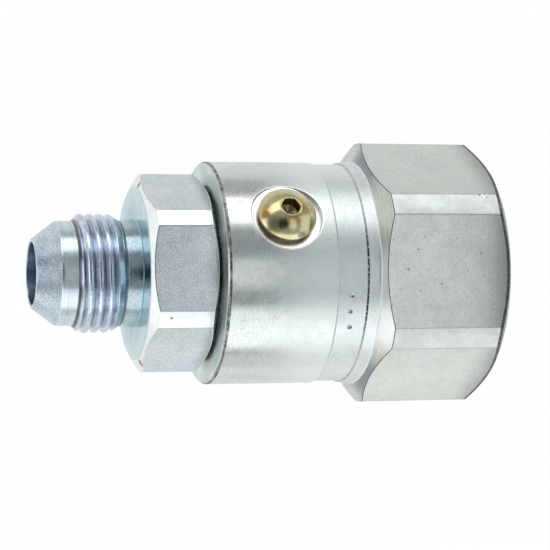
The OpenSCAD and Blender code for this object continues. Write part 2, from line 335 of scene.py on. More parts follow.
plainZinc = dict(
    bright=(0.78, 0.80, 0.78), dull=(0.71, 0.73, 0.72), cloud=0.2, tint=(0.70, 0.76, 0.78), tintShare=0.35,
    warm=(0.80, 0.78, 0.68), warmShare=0.25, roughness=0.25, haze=0.04, lines=(1, 1, 1), lineShade=0.0, lineDepth=0.0,
    grainSize=4.5, grainShade=0.05, grainDepth=0.08, speckSpacing=1.5, speckSize=0.13, speckShade=0.5, marks=None,
)
turned = (8.0, 0.8, 0.8)
zincLooks = dict(
    barrelTurned=dict(bright=(0.77, 0.815, 0.78), dull=(0.71, 0.755, 0.73), lines=turned, lineShade=0.17, lineDepth=0.14,
                      grainShade=0.05, roughness=0.22, marks="barrel"),
    barrelBand=dict(bright=(0.87, 0.92, 0.90), dull=(0.81, 0.86, 0.85), lines=turned, lineShade=0.06, lineDepth=0.1,
                    grainShade=0.07, grainDepth=0.15, roughness=0.42, marks="band"),
    hexFlat=dict(bright=(0.735, 0.77, 0.72), dull=(0.675, 0.71, 0.67), roughness=0.17, grainShade=0.14, grainDepth=0.22,
                 speckSpacing=1.2, speckShade=0.65, marks="hex"),
    hexStrip=dict(bright=(0.63, 0.65, 0.64), dull=(0.58, 0.60, 0.59), roughness=0.36, lines=turned, lineShade=0.08,
                  grainShade=0.08, marks="nick"),
    shoulderCone=dict(bright=(0.84, 0.85, 0.80), dull=(0.72, 0.74, 0.68), roughness=0.34, lines=(14.0, 0.12, 0.12),
                      lineShade=0.3, lineDepth=0.35, warm=(0.80, 0.77, 0.52), warmShare=0.6, grainShade=0.14, marks="cone"),
    # darkEdge: near-black lines of painted shade along the big hex's edges
    darkEdge=dict(bright=(0.15, 0.17, 0.165), dull=(0.06, 0.07, 0.07), cloud=1.2, roughness=0.4, grainShade=0.3,
                  tintShare=0.1),
    bandLine=dict(bright=(0.62, 0.66, 0.65), dull=(0.42, 0.45, 0.45), cloud=1.2, roughness=0.4, marks="line"),
    endChamfer=dict(bright=(0.31, 0.33, 0.325), dull=(0.22, 0.24, 0.235), cloud=0.3, roughness=0.35, lines=turned,
                    lineShade=0.1),
    brownEdge=dict(bright=(0.54, 0.52, 0.48), dull=(0.08, 0.07, 0.065), cloud=1.1, roughness=0.4, grainShade=0.3,
                   tintShare=0.0, warmShare=0.0),
    mouthRim=dict(bright=(0.66, 0.68, 0.66), dull=(0.42, 0.39, 0.35), cloud=0.8, roughness=0.22, grainShade=0.25),
    # mouthFace: its teal tint is painted reflection and its raised brightness is painted light in the narrow gap
    mouthFace=dict(bright=(0.88, 0.92, 0.88), dull=(0.66, 0.76, 0.73), tint=(0.48, 0.70, 0.67), roughness=0.37,
                   grainShade=0.08),
    spotFloor=dict(bright=(0.90, 0.90, 0.88), dull=(0.84, 0.84, 0.82), roughness=0.3, grainShade=0.03),
    barrelBore=dict(bright=(0.55, 0.56, 0.55), dull=(0.42, 0.43, 0.43), roughness=0.35, lines=turned, lineShade=0.1,
                    lineDepth=0.2),
    noseCone=dict(bright=(0.80, 0.92, 0.99), dull=(0.62, 0.75, 0.87), cloud=0.35, tint=(0.52, 0.62, 0.84), roughness=0.28,
                  grainSize=6.0, grainShade=0.48, grainDepth=0.5, warmShare=0.1),
    leadTurned=dict(bright=(0.75, 0.85, 0.88), dull=(0.66, 0.77, 0.81), roughness=0.27, lines=(7.0, 0.05, 0.05),
                    lineShade=0.2, lineDepth=0.08, tint=(0.60, 0.72, 0.82), warmShare=0.05),
    stemFace=dict(bright=(0.50, 0.72, 0.80), dull=(0.34, 0.54, 0.64), cloud=0.4, tint=(0.30, 0.56, 0.70), tintShare=0.6,
                  marks="face", roughness=0.16, lines=turned, lineShade=0.1, warm=(0.72, 0.80, 0.72)),
    neckTurned=dict(bright=(0.66, 0.78, 0.83), dull=(0.50, 0.62, 0.68), roughness=0.22, lines=turned, lineShade=0.2,
                    grainSize=7.0, grainShade=0.35, grainDepth=0.03, tint=(0.44, 0.58, 0.66), warmShare=0.1),
    stemThread=dict(bright=(0.74, 0.83, 0.90), dull=(0.58, 0.67, 0.77), cloud=0.5, tint=(0.60, 0.62, 0.79), tintShare=0.6,
                    roughness=0.22, grainShade=0.14, grainDepth=0.05, speckShade=0.7, warm=(0.66, 0.64, 0.68),
                    warmShare=0.5, marks="thread"),
    stemFlat=dict(bright=(0.78, 0.83, 0.85), dull=(0.68, 0.75, 0.78), roughness=0.2, grainSize=5.5, grainShade=0.26,
                  grainDepth=0.75, tint=(0.64, 0.73, 0.80), warmShare=0.1, marks="stem"),
    stemEdge=dict(bright=(1.0, 1.0, 1.0), dull=(0.92, 0.96, 0.97), tint=(0.82, 0.92, 0.90), roughness=0.3,
                  grainShade=0.03, marks="edge"),
    stemStrip=dict(bright=(0.84, 0.90, 0.92), dull=(0.78, 0.85, 0.87), roughness=0.26, grainShade=0.05, marks="pit"),
    # stemBore: its dark blue is painted shade inside the passage
    stemBore=dict(bright=(0.54, 0.70, 0.82), dull=(0.24, 0.38, 0.56), cloud=0.5, roughness=0.35, lines=turned,
                  lineShade=0.2, tint=(0.50, 0.70, 0.66), warm=(0.74, 0.62, 0.48), warmShare=0.5),
)


def zincFinish(name, look):
    look = {**plainZinc, **look}
    material, shader = newMaterial(name, look["bright"], 1.0, look["roughness"])
    cloud = stretchedNoise(material, look["cloud"], (1, 1, 1), 5)
    colour = ramp(material, cloud, [(0.36, look["dull"]), (0.64, look["bright"])])
    cool = stretchedNoise(material, look["cloud"] * 1.7, (1, 1.1, 0.9), 4)
    colour = tinted(material, colour, mapped(material, cool, 0.48, 0.68, 0.0, look["tintShare"]), look["tint"])
    sun = stretchedNoise(material, look["cloud"] * 2.3, (0.8, 1, 1.2), 4)
    colour = tinted(material, colour, mapped(material, sun, 0.5, 0.7, 0.0, look["warmShare"]), look["warm"])
    normal = None
    if look["lineShade"]:
        lines = stretchedNoise(material, 1.0, look["lines"], 5, 0.7)
        colour = shaded(material, colour, mapped(material, lines, 0.62, 0.3), look["lineShade"])
        normal = bumpFrom(material, lines, look["lineDepth"], 0.02)
    grain = stretchedNoise(material, look["grainSize"], (1, 1, 1), 3, 0.65)
    colour = shaded(material, colour, mapped(material, grain, 0.62, 0.36), look["grainShade"])
    normal = bumpFrom(material, grain, look["grainDepth"], 0.02, normal)
    dust = spots(material, look["speckSpacing"], look["speckSize"], 3.0)
    colour = shaded(material, colour, dust, look["speckShade"])
    haze = stretchedNoise(material, 0.6, (1, 1, 1), 5, 0.6)
    rough = mapped(material, haze, 0.3, 0.7, look["roughness"] - look["haze"], look["roughness"] + look["haze"])
    if look["marks"] in wearAndPaintedLight:
        colour, rough, normal = wearAndPaintedLight[look["marks"]](material, colour, rough, normal)
    wire(material, colour, shader.inputs["Base Color"])
    wire(material, rough, shader.inputs["Roughness"])
    wire(material, normal, shader.inputs["Normal"])
    return material


def barrelMarks(material, colour, rough, normal):
    # Duller and paler towards the shoulder, with light and dark scratches
    rough = maths(material, "ADD", rough, alongAxis(material, -43, -31, 0.0, 0.22))
    colour = tinted(material, colour, alongAxis(material, -40, -30, 0.0, 0.8), (0.88, 0.93, 0.91))
    colour = tinted(material, colour, alongAxis(material, -27, -22, 0.0, 0.9), (0.99, 1.0, 0.99))
    scratches = stretchedNoise(material, 1.0, (0.35, 5.0, 5.0), 2, 0.5, 0.6)
    colour = tinted(material, colour, mapped(material, scratches, 0.70, 0.74, 0.0, 0.6), (0.93, 0.93, 0.91))
    colour = shaded(material, colour, mapped(material, scratches, 0.30, 0.27), 0.4)
    return colour, rough, normal


def hexDingsAndShade(material, colour, rough, normal):
    # Painted shade, darker towards the open end, and a few dark dings
    paintedEndShade = alongAxis(material, -9.5, 1.2, 0.0, 1.0)
    paintedEndShade = maths(material, "MULTIPLY", paintedEndShade, paintedEndShade)
    colour = shaded(material, colour, paintedEndShade, 0.5)
    for x, y, reach in ((-15.7, 3.4, 0.32), (-17.3, 0.3, 0.38), (-5.4, 2.8, 0.28), (-11.9, -2.0, 0.28), (-15.4, -3.1, 0.24)):
        colour = shaded(material, colour, nearPoint(material, (x, y, 19.05), 0.05, reach), 0.45)
    return colour, rough, normal


def punchDotsAndShade(material, colour, rough, normal):
    # Three plain punch dots in the marking band, each with painted shade on one side of the dent
    for x, y in ((-25.9, -3.75), (-25.95, -6.15), (-25.75, -8.6)):
        z = sqrt(17.5 ** 2 - y ** 2)
        dent = nearPoint(material, (x, y, z), 0.1, 0.45)
        normal = bumpFrom(material, maths(material, "SUBTRACT", 1.0, dent), 1.0, 0.3, normal)
        # Painted shade on one side of the dent
        colour = shaded(material, colour, nearPoint(material, (x + 0.15, y - 0.1, z), 0.1, 0.32), 0.85)
    return colour, rough, normal


def paintedConeLight(material, colour, rough, normal):
    # Painted shade above and below, where the shoulder meets the hex, painted shade at the front and a painted
    # highlight lower down
    for y in (16.8, -17.6):
        paintedConeShade = nearPoint(material, (-20.6, y, 8.0), 2.5, 8.5)
        colour = tinted(material, colour, maths(material, "MULTIPLY", paintedConeShade, 0.85), (0.24, 0.27, 0.31))
    # Painted shade on the front of the cone
    grey = nearPoint(material, (-20.6, 1.0, 18.5), 1.0, 6.5)
    colour = tinted(material, colour, maths(material, "MULTIPLY", grey, 0.6), (0.62, 0.67, 0.66))
    # Painted highlight on the lower side of the cone
    white = nearPoint(material, (-20.6, -8.5, 17.0), 1.5, 5.5)
    colour = tinted(material, colour, white, (1.0, 1.0, 1.0))
    return colour, rough, normal


def paintedStemShade(material, colour, rough, normal):
    # Painted shade: darker towards the body, where the small hex meets the gap
    return shaded(material, colour, alongAxis(material, -48.8, -46.4, 0.0, 1.0), 0.2), rough, normal


def paintedThreadShade(material, colour, rough, normal):
    # Painted shade at both ends of the thread and in its roots
    colour = shaded(material, colour, alongAxis(material, -66.25, -66.7, 0.0, 1.0), 0.5)
    colour = shaded(material, colour, alongAxis(material, -60.9, -60.2, 0.0, 1.0), 0.22)
    parts = addNode(material, "ShaderNodeSeparateXYZ")
    wire(material, placeOf(material), parts.inputs[0])
    squares = [maths(material, "MULTIPLY", parts.outputs[axis], parts.outputs[axis]) for axis in "YZ"]
    radius = maths(material, "SQRT", maths(material, "ADD", *squares), 0.0)
    # Painted shade in the roots
    root = mapped(material, radius, 8.65 * mm, 8.4 * mm, 0.0, 1.0)
    return shaded(material, colour, root, 0.55), rough, normal


def faceMarks(material, colour, rough, normal):
    # Paler and greener towards its edge
    inside = nearPoint(material, (-56.9, 0.0, 0.0), 8.5, 13.5)
    pale = maths(material, "MULTIPLY", maths(material, "SUBTRACT", 1.0, inside), 0.55)
    return tinted(material, colour, pale, (0.76, 0.90, 0.89)), rough, normal


def paintedEdgeShade(material, colour, rough, normal):
    # Painted shade at two corners of the small hex, above and below, where its chamfer meets the flats
    for y in (13.7, -14.1):
        colour = shaded(material, colour, nearPoint(material, (-56.2, y, 3.0), 0.2, 1.1), 0.75)
    return colour, rough, normal


def paintedGrooveShade(material, colour, rough, normal):
    # Painted shade: the groove's edge is darkest around its front middle
    deep = nearPoint(material, (-23.2, -1.0, 17.8), 4.0, 13.0)
    torn = stretchedNoise(material, 3.0, (1, 1, 1), 2)
    deep = maths(material, "MULTIPLY", deep, mapped(material, torn, 0.35, 0.5))
    return shaded(material, colour, deep, 0.9), rough, normal


def nickWithPaintedLight(material, colour, rough, normal):
    # A small nick in the upper edge of the hex, in colour only: a dark line of painted shade and a ragged patch of
    # painted highlight and shade
    for step in range(3):
        colour = shaded(material, colour, nearPoint(material, (-4.9 + 0.45 * step, 12.0 - 0.35 * step, 17.3), 0.05, 0.36), 0.6)
    cut = nearPoint(material, (-3.9, 11.9, 17.2), 0.2, 0.85)
    torn = stretchedNoise(material, 2.2, (1, 1, 1), 2)
    colour = tinted(material, colour, maths(material, "MULTIPLY", cut, mapped(material, torn, 0.5, 0.55)), (0.95, 0.95, 0.9))
    colour = shaded(material, colour, maths(material, "MULTIPLY", cut, mapped(material, torn, 0.45, 0.4)), 0.6)
    return colour, rough, normal


def pitAndPaintedShade(material, colour, rough, normal):
    # A dark pit in the lower turned corner of the small hex; its end by the body is darkened with painted shade
    colour = shaded(material, colour, alongAxis(material, -49.2, -46.4, 0.0, 1.0), 0.35)
    colour = shaded(material, colour, nearPoint(material, (-53.8, -7.0, 14.1), 0.12, 0.32), 0.75)
    return colour, rough, normal


# Real wear marks together with painted shade and painted highlights
wearAndPaintedLight = dict(barrel=barrelMarks, hex=hexDingsAndShade, band=punchDotsAndShade, cone=paintedConeLight, nick=nickWithPaintedLight, pit=pitAndPaintedShade,
                 stem=paintedStemShade, line=paintedGrooveShade, face=faceMarks, edge=paintedEdgeShade, thread=paintedThreadShade)
zinc = {name: zincFinish(name, look) for name, look in zincLooks.items()}
print("finishes ready")


# The body
bodySize = dict(
    flat=19.0499, corner=20.9999, endFace=18.15, chamferAngle=30, hexLength=19.5, barrel=17.775,
    bandLand=1.85, bandWidth=5.0, bandDepth=0.27, mouthChamfer=0.35, portSeat=10.301, portSeatDepth=2.5,
    portSeatEnd=9.7696, portBore=8.731, threadMajor=9.62, threadPitch=1.5875, portDepth=15.5, passage=4.95,
    sealBore=10.0, sealBoreX=-19.472, journalBore=12.05, race=12.0, raceGroove=2.1, ballX=-35.702,
    stepX=-30.702, dustBore=13.93, dustX=-43.272,
)
plugPlace = dict(angle=30, spotface=5.6, floor=16.775, hole=2.45)


def buildBarrel():
    s = bodySize
    angles = hexColumns(s["flat"], s["corner"])
    limit = hexLimit(angles, s["flat"], s["corner"])
    slope = tan(radians(s["chamferAngle"]))
    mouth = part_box("barrel")[0].x / mm
    foot = -s["hexLength"] - (s["corner"] - s["barrel"]) * slope
    bandRight = foot - s["bandLand"]
    bandLeft = bandRight - s["bandWidth"]
    bandRadius = s["barrel"] - s["bandDepth"]
    pointX = -s["portDepth"] - (s["portBore"] - s["passage"]) / tan(radians(59))
    corners = [
        (0, s["portSeat"], 0.1, 2, "endFace"),
        (0, s["endFace"], 0.12, 0, "endChamfer"),
        (-(limit - 0.4 - s["endFace"]) * slope, limit - 0.4, 0, 0, "darkEdge"),
        (-(limit - s["endFace"]) * slope, limit, 0.12, 0, "darkEdge"),
        (-(limit - s["endFace"]) * slope - 0.45, limit, 0, 10, "hexFlat"),
        (-s["hexLength"] - (s["corner"] - limit) * slope + 0.08, limit, 0, 0, "darkEdge"),
        (-s["hexLength"] - (s["corner"] - limit) * slope, limit, 0.1, 0, "darkEdge"),
        (-s["hexLength"] - (s["corner"] - limit + 0.08) * slope, limit - 0.08, 0, 3, "shoulderCone"),
        (foot, s["barrel"], 0.3, 2, "barrelBand"),
        (bandRight, s["barrel"], 0.04, 0, "bandLine"),
        (bandRight - s["bandDepth"], bandRadius, 0.05, 4, "barrelBand"),
        (bandLeft + s["bandDepth"], bandRadius, 0.05, 0, "barrelBand"),
        (bandLeft, s["barrel"], 0.05, 1, "barrelTurned"),
    ]
    blockStart, blockEnd = s["ballX"] + 6.7, s["ballX"] - 6.7
    outerBlock = np.linspace(blockStart, blockEnd, 19)
    corners += [(x, s["barrel"], 0, 0, "barrelTurned") for x in outerBlock]
    corners += [
        (mouth + s["mouthChamfer"] + 0.24, s["barrel"], 0, 0, "brownEdge"),
        (mouth + s["mouthChamfer"], s["barrel"], 0.06, 0, "brownEdge"),
        (mouth + s["mouthChamfer"] * 0.6, s["barrel"] - s["mouthChamfer"] * 0.4, 0, 0, "mouthRim"),
        (mouth, s["barrel"] - s["mouthChamfer"], 0.08, 3, "mouthFace"),
        (mouth, s["dustBore"], 0.05, 1, "bore"),
        (s["dustX"], s["dustBore"], 0.03, 1, "bore"),
        (s["dustX"], s["journalBore"], 0.03, 1, "bore"),
    ]
    reach = sqrt(s["raceGroove"] ** 2 - (s["journalBore"] - s["race"]) ** 2)
    innerBlock = np.concatenate([
        np.linspace(-4.2, -reach, 4)[:-1], reach * np.sin(np.linspace(-pi / 2, pi / 2, 13)), np.linspace(reach, 4.2, 4)[1:],
    ])

    def innerRadius(u):
        groove = s["race"] + np.sqrt(np.maximum(s["raceGroove"] ** 2 - u * u, 0))
        return np.where(np.abs(u) < reach, groove, s["journalBore"])

    corners += [(s["ballX"] + u, float(innerRadius(u)), 0, 0, "bore") for u in innerBlock]
    corners += [
        (s["stepX"], s["journalBore"], 0.05, 1, "bore"),
        (s["stepX"], s["sealBore"] + 0.4, 0.05, 0, "bore"),
        (s["stepX"] + 0.4, s["sealBore"], 0.05, 2, "bore"),
        (s["sealBoreX"], s["sealBore"], 0.03, 1, "bore"),
        (s["sealBoreX"], s["passage"], 0.05, 1, "bore"),
        (pointX, s["passage"], 0.05, 2, "bore"),
        (-s["portDepth"], s["portBore"], 0.05, 1, "bore"),
    ]
    threadEnd = -s["portSeatDepth"] - (s["portSeatEnd"] - s["portBore"])
    for x in np.arange(-s["portDepth"] + 0.6, threadEnd - 0.02, 0.09):
        turn = (x + 6.0) / s["threadPitch"] - angles / (2 * pi)
        off = np.abs(turn - np.round(turn)) * s["threadPitch"]
        groove = s["threadMajor"] - np.maximum(off - 0.1, 0) / tan(radians(30))
        fade = np.clip((x + s["portDepth"] - 0.6) / 1.5, 0, 1)
        deep = s["portBore"] + (softMax(groove, np.full_like(groove, s["portBore"]), 0.1) - s["portBore"]) * fade
        corners.append((x, deep, 0, 0, "portThread"))
    corners += [
        (threadEnd + 0.05, s["portBore"] + 0.1, 0, 0, "bore"),
        (-s["portSeatDepth"], s["portSeatEnd"], 0.05, 1, "endFace"),
    ]
    rows, finishes = ringRows(corners, len(angles))
    shell = Shell()
    ids = shell.addPoints(turnedPoints(rows, angles)).reshape(len(rows), -1)
    quads = gridQuads(ids)
    names = ["barrelTurned", "hexFlat", "hexStrip", "shoulderCone", "barrelBand", "darkEdge", "brownEdge", "mouthRim",
             "bandLine", "endChamfer", "mouthFace", "barrelBore", "spotFloor"]
    slotOf = {name: number for number, name in enumerate(names)}
    slotOf.update(bore=slotOf["barrelBore"], portThread=slotOf["barrelBore"], endFace=slotOf["hexStrip"])
    slots = np.array([[slotOf[f]] * len(angles) for f in finishes])
    strip = fromFlatMiddle(angles + 0.5 * (np.roll(angles, -1) - angles) % pi) > acos(s["flat"] / s["corner"])
    slots[np.ix_(np.array(finishes) == "hexFlat", strip)] = slotOf["hexStrip"]

    # The ball filling hole goes through the wall, with a flat spot for the plug's washer
    across = np.array((0, -sin(radians(90 - plugPlace["angle"])), cos(radians(90 - plugPlace["angle"]))))
    outward = np.array((0, sin(radians(plugPlace["angle"])), cos(radians(plugPlace["angle"]))))
    centre = radians(90 - plugPlace["angle"])
    left = int(np.argmin(np.abs(angles - (centre - radians(24)))))
    right = int(np.argmin(np.abs(angles - (centre + radians(24)))))
    xs = rows[:, 0, 0]
    radii = rows[:, 1, 0]
    outerTop = int(np.argmin(np.abs(xs - blockStart) + np.abs(radii - s["barrel"])))
    innerBottom = int(np.argmin(np.abs(xs - (s["ballX"] - 4.2)) + np.abs(radii - s["journalBore"])))
    keep = np.ones(quads.shape[:2], bool)
    keep[outerTop:outerTop + 18, left:right] = False
    keep[innerBottom:innerBottom + 18, left:right] = False
    shell.addQuads(quads[keep], slots[keep])

    def blockLoop(first, last):
        step = 1 if last > first else -1
        side = np.arange(first, last, step)
        return np.concatenate([
            ids[first, left:right], ids[side, right], ids[last, right:left:-1], ids[side[::-1] + step, left],
        ])

    def closeIn(loop, beta, surface, radius, steps, slot):
        points = np.concatenate(shell.points)[loop]
        u, v = points[:, 0] - s["ballX"], points @ across
        ring = loop
        for t in steps:
            un = u + (radius * np.cos(beta) - u) * t
            vn = v + (radius * np.sin(beta) - v) * t
            ring = addRing(ring, un, vn, surface(un, vn), slot)
        return ring

    def addRing(ring, u, v, height, slot):
        placed = np.stack([u + s["ballX"], u * 0, u * 0], 1) + np.outer(v, across) + np.outer(height + u * 0, outward)
        new = shell.addPoints(placed)
        shell.joinRings(ring, new, slot)
        return new

    outerLoop = blockLoop(outerTop, outerTop + 18)
    innerLoop = blockLoop(innerBottom + 18, innerBottom)
    start = np.concatenate(shell.points)[outerLoop]
    beta = np.arctan2(start @ across, start[:, 0] - s["ballX"])
    outerSurface = lambda u, v: np.sqrt(s["barrel"] ** 2 - v * v)
    innerSurface = lambda u, v: np.sqrt(innerRadius(u) ** 2 - v * v)
    spot, hole, floor = plugPlace["spotface"], plugPlace["hole"], plugPlace["floor"]
    ring = closeIn(outerLoop, beta, outerSurface, spot + 0.22, (0.25, 0.5, 0.75, 0.9, 1), slotOf["barrelTurned"])
    for radius, drop in ((spot + 0.14, 0.02), (spot + 0.05, 0.07), (spot + 0.01, 0.13), (spot, 0.2)):
        u, v = radius * np.cos(beta), radius * np.sin(beta)
        edge = np.maximum(outerSurface(u, v) - drop, floor + 0.004)
        ring = addRing(ring, u, v, edge, slotOf["spotFloor"])
    for radius, height in ((spot, floor + 0.003), (spot - 0.05, floor), (4.6, floor), (3.6, floor), (hole + 0.1, floor),
                           (hole, floor - 0.1)):
        wall = "barrelTurned" if height > floor else "spotFloor"
        ring = addRing(ring, radius * np.cos(beta), radius * np.sin(beta), height, slotOf[wall])
    inner = closeIn(innerLoop, beta, innerSurface, hole, (0.4, 0.8, 1), slotOf["bore"])
    shell.joinRings(ring, inner, slotOf["bore"])
    return shell.build("barrelShell", [zinc[name] for name in names])


barrel = buildBarrel()
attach(barrel, "body")
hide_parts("barrel")
print("body ready", len(barrel.data.polygons))


# The stem
stemSize = dict(
    flat=14.2875, corner=15.725, faceRadius=13.425, chamferAngle=28.5, hexLength=10.7, hexGap=0.5, backChamfer=1.6,
    neck=8.371, neckLength=2.5, threadLength=7.45, runout=1.65, lead=8.2312, leadLength=2.56, nose=5.45,
    flareAngle=37, passage=4.95, threadMajor=9.38, crestRound=0.42, neckRise=0.2, pitch=1.5875, crestX=-64.05, journal=12.0, shoulderX=-31.002,
    spigot=9.95, tipX=-20.472, glandStart=-28.192, glandEnd=-22.572, glandRoot=7.74, turn=2.5,
)


def threadRadius(x, angles):
    # Right-hand thread with rolled, rounded crests; its crest moves along +X as the angle grows
    s = stemSize
    turn = (x - s["crestX"]) / s["pitch"] - angles / (2 * pi)
    off = np.abs(turn - np.round(turn)) * s["pitch"]
    arcEnd = s["crestRound"] * cos(pi / 6)
    onArc = s["crestRound"] - np.sqrt(s["crestRound"] ** 2 - np.minimum(off, arcEnd) ** 2)
    return s["threadMajor"] - onArc - np.maximum(off - arcEnd, 0) / tan(pi / 6)


def buildStem():
    s = stemSize
    angles = hexColumns(s["flat"], s["corner"])
    limit = hexLimit(angles, s["flat"], s["corner"])
    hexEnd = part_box("barrel")[0].x / mm - s["hexGap"]
    hexStart = hexEnd - s["hexLength"]
    slope = tan(radians(s["chamferAngle"]))
    threadEnd = hexStart - s["neckLength"]
    threadStart = threadEnd - s["threadLength"]
    flareX = threadStart - s["leadLength"]
    noseX = flareX - (s["lead"] - s["nose"]) / tan(radians(s["flareAngle"]))
    corners = [
        (noseX, s["passage"], 0.12, 0, "leadTurned"),
        (noseX, s["nose"], 0.14, 2, "noseCone"),
        (flareX, s["lead"], 0.2, 2, "leadTurned"),
    ]
    root = s["neck"] + 0.02
    for x in np.arange(threadStart - 0.1, threadEnd + 0.1, 0.06):
        crest = np.maximum(threadRadius(x, angles), root)
        startCone = s["lead"] + np.maximum(x - threadStart, 0)
        runoutCone = s["neck"] + np.maximum(threadEnd - x, 0) * (s["threadMajor"] - s["neck"]) / s["runout"]
        radius = softMin(softMin(crest, startCone, 0.1), runoutCone, 0.15)
        corners.append((x, np.maximum(radius, s["lead"]), 0, 0, "stemThread"))
    corners += [
        (threadEnd + 0.25, s["neck"], 0.1, 2, "neckTurned"),
        (hexStart, s["neck"] + s["neckRise"], 0.15, 3, "stemFace"),
        (hexStart, s["faceRadius"], 0.1, 0, "stemFace"),
        (hexStart + 0.3 * slope, s["faceRadius"] + 0.3, 0, 0, "stemEdge"),
        (hexStart + (limit - s["faceRadius"]) * slope, limit, 0.12, 6, "stemFlat"),
        (hexEnd - (limit - s["corner"] + s["backChamfer"]) * slope, limit, 0.12, 2, "stemEdge"),
        (hexEnd, s["corner"] - s["backChamfer"], 0.06, 1, "stemEdge"),
        (hexEnd, s["journal"], 0.05, 1, "inner"),
    ]
    groove = bodySize["raceGroove"]
    for t in np.linspace(-pi / 2, pi / 2, 13):
        corners.append((bodySize["ballX"] + groove * sin(t), s["journal"] - groove * cos(t), 0, 0, "inner"))
    corners += [
        (s["shoulderX"] - 0.4, s["journal"], 0.05, 0, "inner"),
        (s["shoulderX"], s["journal"] - 0.4, 0.05, 1, "inner"),
        (s["shoulderX"], s["spigot"], 0.05, 1, "inner"),
        (s["glandStart"], s["spigot"], 0.03, 1, "inner"),
        (s["glandStart"], s["glandRoot"], 0.05, 2, "inner"),
        (s["glandEnd"], s["glandRoot"], 0.05, 1, "inner"),
        (s["glandEnd"], s["spigot"], 0.03, 1, "inner"),
        (s["tipX"] - 0.4, s["spigot"], 0.05, 0, "inner"),
        (s["tipX"], s["spigot"] - 0.4, 0.05, 1, "inner"),
        (s["tipX"], s["passage"], 0.05, 12, "bore"),
    ]
    rows, finishes = ringRows(corners, len(angles))
    turned = angles + radians(-s["turn"])
    shell = Shell()
    ids = shell.addPoints(turnedPoints(rows, turned)).reshape(len(rows), -1)
    names = ["noseCone", "leadTurned", "stemThread", "neckTurned", "stemFace", "stemFlat", "stemEdge", "stemStrip",
             "stemBore"]
    slotOf = {name: number for number, name in enumerate(names)}
    slotOf.update(inner=slotOf["leadTurned"], bore=slotOf["stemBore"])
    slots = np.array([[slotOf[f]] * len(angles) for f in finishes])
    strip = fromFlatMiddle(angles + 0.5 * (np.roll(angles, -1) - angles) % pi) > acos(s["flat"] / s["corner"])
    slots[np.ix_(np.array(finishes) == "stemFlat", strip)] = slotOf["stemStrip"]
    shell.addQuads(gridQuads(ids), slots.reshape(-1))
    return shell.build("stemShell", [zinc[name] for name in names])


stem = buildStem()
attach(stem, "stem")
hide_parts("stem")
print("stem ready", len(stem.data.polygons))


# The ball plug, its washer and what is hidden inside
plugSize = dict(
    tip=14.1, shank=2.4, washerBottom=16.775, washerTop=17.525, washer=3.8, rim=4.585, rimHeight=0.35, headHeight=2.57,
    topFlat=1.75, socketFlat=1.35, pilot=1.42, socketDepth=1.75, shankHole=2.45,
)


def onPlugAxis(rows, angles, spin=0.0):
    # Rows of (height, radius) round the plug's axis, in the frame
    tilt = radians(plugPlace["angle"])
    height, radius = rows[:, 0], rows[:, 1]
    u = radius * np.cos(angles + spin)
    v = radius * np.sin(angles + spin)
    y = height * sin(tilt) + v * cos(tilt)
    z = height * cos(tilt) - v * sin(tilt)
    return np.stack([u + bodySize["ballX"] + 0 * height, y, z], -1)


def buildPlug():
    s = plugSize
    corner = s["socketFlat"] / cos(pi / 6)
    angles = np.concatenate([radians(60 * side) + np.radians([0, 1.5, 5, 12, 20, 30, 40, 48, 55, 58.5]) for side in range(6)])
    toFlat = (angles % (pi / 3)) - pi / 6
    hexRadius = softMin(softMax(s["socketFlat"] / np.cos(toFlat), s["pilot"] + 0 * toFlat, 0.02), corner * 0.985, 0.06)
    top = s["washerTop"] + s["headHeight"]
    rimTop = s["washerTop"] + s["rimHeight"]
    dome = s["headHeight"] - s["rimHeight"]
    below = (s["rim"] ** 2 - s["topFlat"] ** 2 - dome ** 2) / (2 * dome)
    ball = sqrt(s["rim"] ** 2 + below ** 2)
    socket = top - s["socketDepth"]
    corners = [
        (s["tip"], 0, 0, 0, "shank"),
        (s["tip"], s["shank"], 0.15, 1, "shank"),
        (s["washerTop"], s["shank"], 0, 1, "shank"),
        (s["washerTop"], s["rim"], 0.08, 0, "head"),
        (rimTop, s["rim"], 0.06, 0, "head"),
    ]
    first, last = asin(s["rim"] / ball), asin(s["topFlat"] / ball)
    for t in np.linspace(first - 0.03, last, 16):
        corners.append((rimTop - below + ball * cos(t), ball * sin(t), 0, 0, "head"))
    corners += [
        (top, hexRadius + 0.05, 0, 0, "head"),
        (top - 0.05, hexRadius, 0, 3, "socket"),
        (socket, hexRadius, 0.06, 0, "socket"),
        (socket, np.minimum(hexRadius, s["socketFlat"]) - 0.05, 0, 1, "socket"),
        (socket - corner / 2, 0, 0, 0, "socket"),
    ]
    rows, finishes = ringRows(corners, len(angles))
    shell = Shell()
    ids = shell.addPoints(onPlugAxis(rows, angles)).reshape(len(rows), -1)
    ids[0] = ids[0, 0]
    ids[-1] = ids[-1, 0]
    slotOf = {"shank": 0, "head": 0, "socket": 1}
    slots = np.array([[slotOf[f]] * len(angles) for f in finishes])
    shell.addQuads(gridQuads(ids)[:-1], slots[:-1].reshape(-1))
    return shell.build("ballPlugScrew", [yellowZinc, socketDark])


def buildWasher():
    s = plugSize
    angles = np.linspace(0, 2 * pi, 96, endpoint=False)
    gap = 0.004
    low, high = s["washerBottom"] + gap, s["washerTop"] - gap
    corners = [
        (low, s["shankHole"] + 0.02, 0.05, 1, "ring"), (low, s["washer"], 0.15, 0, "ring"),
        (high, s["washer"], 0.15, 1, "ring"), (high, s["shankHole"] + 0.02, 0.05, 1, "ring"),
    ]
    rows, finishes = ringRows(corners, len(angles))
    shell = Shell()
    ids = shell.addPoints(onPlugAxis(rows, angles)).reshape(len(rows), -1)
    shell.addQuads(gridQuads(ids), 0)
    return shell.build("plugWasherRing", [washerDark])


